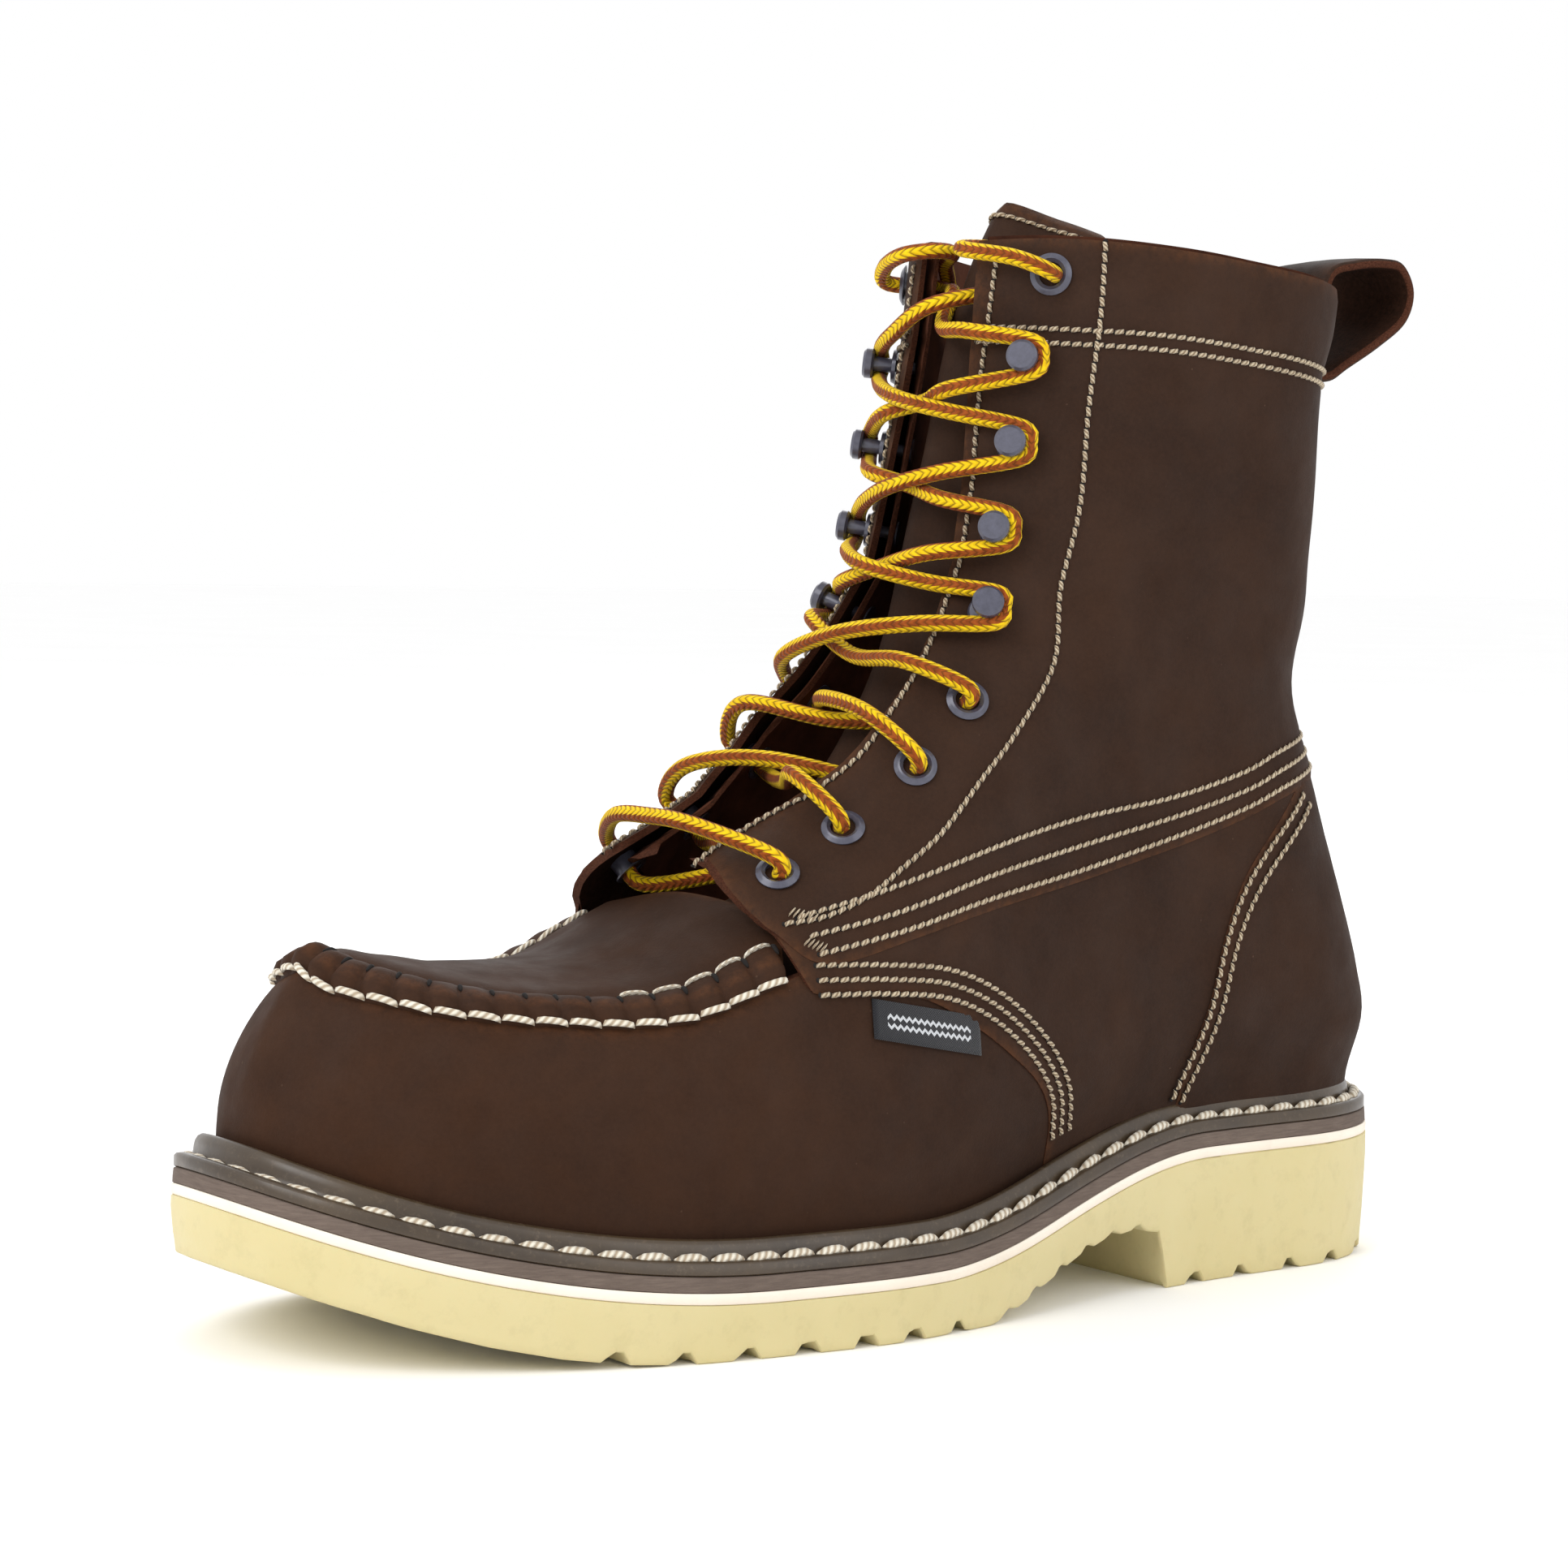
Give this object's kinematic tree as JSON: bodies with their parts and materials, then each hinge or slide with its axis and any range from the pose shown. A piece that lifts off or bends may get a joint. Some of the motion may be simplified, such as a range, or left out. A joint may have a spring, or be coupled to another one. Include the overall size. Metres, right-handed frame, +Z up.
{
  "type": "steel toe work boot",
  "caption": "Left lace-up work boot with a steel toe cap, moccasin-stitched toe, welted rubber sole, speed hooks, padded tongue and rear pull loop.",
  "frame": {"origin": "on the ground under the middle of the boot, in the plane of the tread", "axes": "+X to the outer (lateral) side, -Y to the toe, +Y to the heel, +Z up the shaft"},
  "size_m": [0.1145, 0.3147, 0.2455],
  "materials": {
    "pale_rubber": "matt",
    "cream_rubber": "matt",
    "taupe_rubber": "sanded",
    "welt_olive": "satin",
    "cork_filler": "granular",
    "bare_steel": "brushed",
    "insole_board": "fibreboard",
    "footbed_foam": "soft",
    "black_rubber": "matt",
    "counter_board": "matt",
    "waxed_leather": "waxed nubuck",
    "lining_fabric": "knitted",
    "lining_leather": "soft",
    "padding": "foam",
    "gunmetal_enamel": "gloss",
    "woven_tag": "woven",
    "lace_braid": "braided",
    "aglet_plastic": "clear-coated"
  },
  "bodies": {
    "boot": {"outsole": "pale_rubber", "cream_layer": "cream_rubber", "midsole": "taupe_rubber", "welt": "welt_olive", "bottom_filler": "cork_filler", "shank": "bare_steel", "insole_board": "insole_board", "footbed": "footbed_foam", "toe_cap": "bare_steel", "toe_cap_edge": "black_rubber", "heel_counter": "counter_board", "vamp": "waxed_leather", "plug": "waxed_leather", "vamp_lining": "lining_fabric", "quarter_lateral": "waxed_leather", "quarter_medial": "waxed_leather", "shaft_lateral": "waxed_leather", "shaft_medial": "waxed_leather", "heel_cover": "waxed_leather", "backstay": "waxed_leather", "lining_lateral": "lining_leather", "lining_medial": "lining_leather", "collar_pad_lateral": "padding", "collar_pad_medial": "padding", "pull_loop": "waxed_leather", "eyelets_lateral": "gunmetal_enamel", "eyelets_medial": "gunmetal_enamel", "eyelet_washers_lateral": "gunmetal_enamel", "eyelet_washers_medial": "gunmetal_enamel", "speed_hooks_lateral": "gunmetal_enamel", "speed_hooks_medial": "gunmetal_enamel", "label_tag": "woven_tag", "lace": "lace_braid", "lace_end_lateral": "lace_braid", "lace_end_medial": "lace_braid", "aglet_lateral": "aglet_plastic", "aglet_medial": "aglet_plastic"},
    "tongue": {"tongue_leather": "waxed_leather", "tongue_foam": "padding", "tongue_lining": "lining_leather"}
  },
  "joints": [
    {"name": "tongue_fold", "type": "hinge", "parent": "boot", "child": "tongue", "pos_m": [0.002, -0.038, 0.083], "axis": [1, 0, 0], "range_deg": [-8, 0]}
  ]
}
